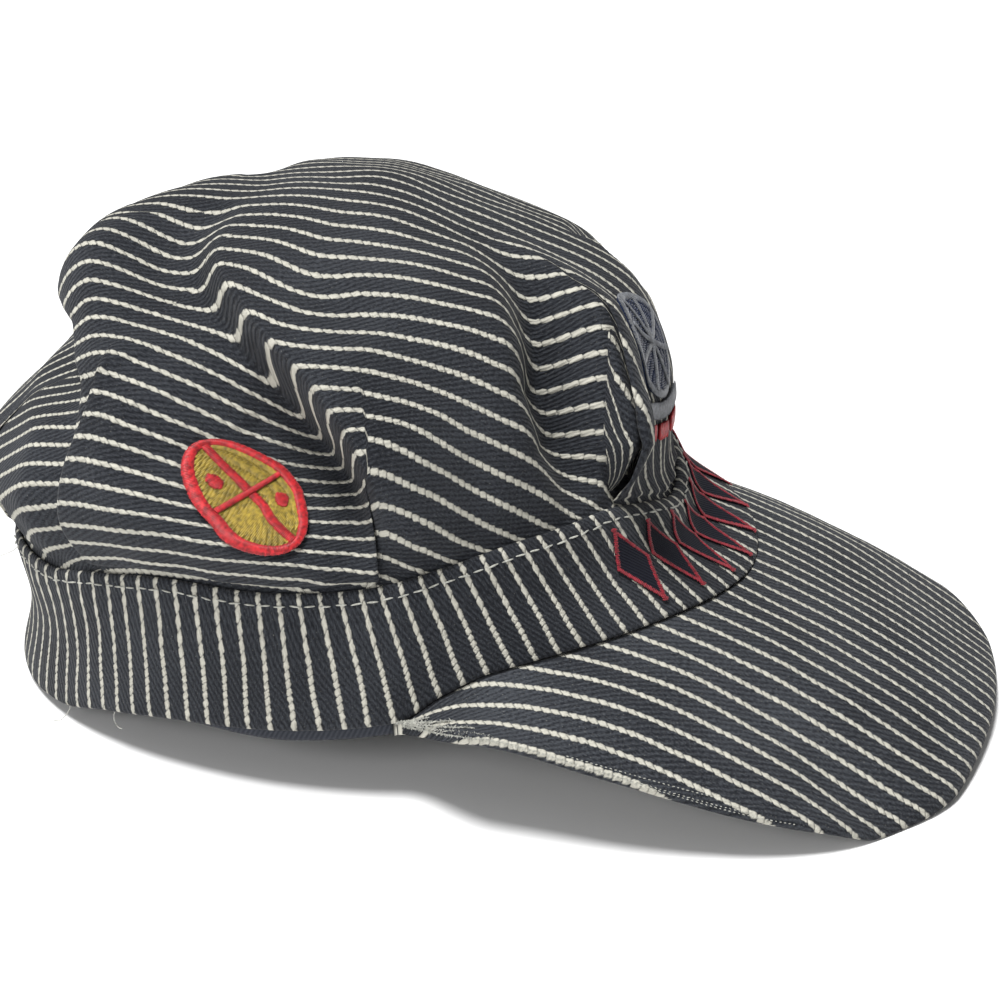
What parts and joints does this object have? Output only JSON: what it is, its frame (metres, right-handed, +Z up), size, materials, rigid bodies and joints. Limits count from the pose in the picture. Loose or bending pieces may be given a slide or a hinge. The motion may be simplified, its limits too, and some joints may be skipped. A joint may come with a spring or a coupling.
{
  "type": "railroad engineer cap",
  "caption": "Soft striped railroad engineer cap with a box-pleated crown, a tall band, a stiff curved bill and sewn-on patches, lying as it rests on a table.",
  "frame": {"origin": "middle of the bounding box on the surface the cap rests on", "axes": "-Y towards the front edge of the bill, +X towards the wearer's left, +Z up"},
  "size_m": [0.1788, 0.2728, 0.1333],
  "materials": {
    "striped_twill": "matte cotton twill, dark navy ground with cream stripes",
    "inner_twill": "matte cotton twill",
    "bill_twill": "matte cotton twill over a stiff core",
    "red_satin_thread": "satin embroidery thread",
    "blue_thread": "satin embroidery thread",
    "grey_thread": "satin embroidery thread",
    "navy_applique": "matte applique cloth with a satin edge"
  },
  "bodies": {
    "root": {"crown": "striped_twill", "band": "striped_twill", "sweatband": "inner_twill", "bill": "bill_twill", "side_badge": "red_satin_thread", "emblem_disc": "blue_thread", "emblem_rail": "grey_thread", "emblem_tie_1": "red_satin_thread", "emblem_tie_2": "red_satin_thread", "emblem_tie_3": "red_satin_thread", "band_lozenge_1": "navy_applique", "band_lozenge_2": "navy_applique", "band_lozenge_3": "navy_applique", "band_lozenge_4": "navy_applique", "band_lozenge_5": "navy_applique", "band_lozenge_6": "navy_applique", "band_lozenge_7": "navy_applique"}
  },
  "joints": []
}
